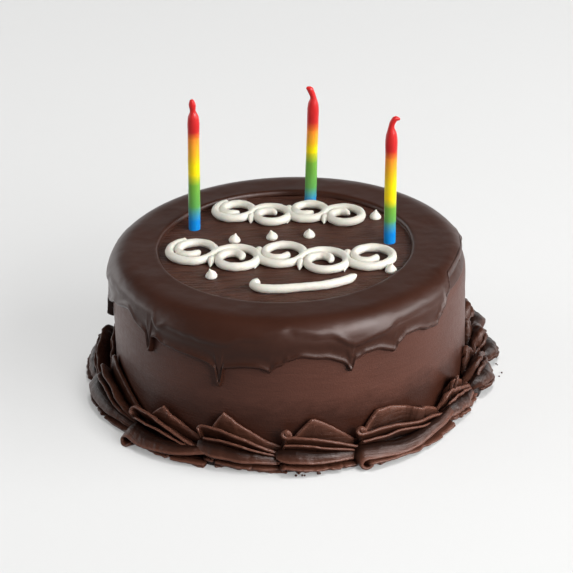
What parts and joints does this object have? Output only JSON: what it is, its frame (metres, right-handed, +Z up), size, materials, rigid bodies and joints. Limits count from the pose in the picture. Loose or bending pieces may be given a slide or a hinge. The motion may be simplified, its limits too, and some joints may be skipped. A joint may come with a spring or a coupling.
{
  "type": "iced birthday cake with candles",
  "caption": "Round chocolate cake with a poured ganache rim and drips, a piped shell border, white scrollwork and slim striped candles.",
  "frame": {"origin": "centre of the cake's flat underside", "axes": "+Z up through the cake, -Y towards the front, which has the long drip and the row of scrolls, +X to the right seen from the front"},
  "size_m": [0.1897, 0.1825, 0.1267],
  "materials": {
    "buttercream": "smoothed chocolate buttercream, satin, faint bands round the wall and fine streaks on the top",
    "ganache": "poured dark chocolate ganache, glossy, very slightly rippled",
    "piped_buttercream": "dark chocolate buttercream, piped through an open star, satin with fine pits and ragged edges",
    "white_icing": "off-white piped icing, satin",
    "candle_wax": "dipped wax in soft bands, red at the top, then orange, yellow, green and blue"
  },
  "bodies": {
    "root": {"cake": "buttercream", "ganache": "ganache", "shell_01": "piped_buttercream", "shell_02": "piped_buttercream", "shell_03": "piped_buttercream", "shell_04": "piped_buttercream", "shell_05": "piped_buttercream", "shell_06": "piped_buttercream", "shell_07": "piped_buttercream", "shell_08": "piped_buttercream", "shell_09": "piped_buttercream", "shell_10": "piped_buttercream", "shell_11": "piped_buttercream", "shell_12": "piped_buttercream", "shell_13": "piped_buttercream", "shell_14": "piped_buttercream", "shell_15": "piped_buttercream", "shell_16": "piped_buttercream", "scroll_lower": "white_icing", "scroll_upper": "white_icing", "scroll_flourish": "white_icing", "dot_1": "white_icing", "dot_2": "white_icing", "dot_3": "white_icing", "dot_4": "white_icing", "dot_5": "white_icing", "dot_6": "white_icing", "candle_left": "candle_wax", "candle_back": "candle_wax", "candle_right": "candle_wax"}
  },
  "joints": []
}
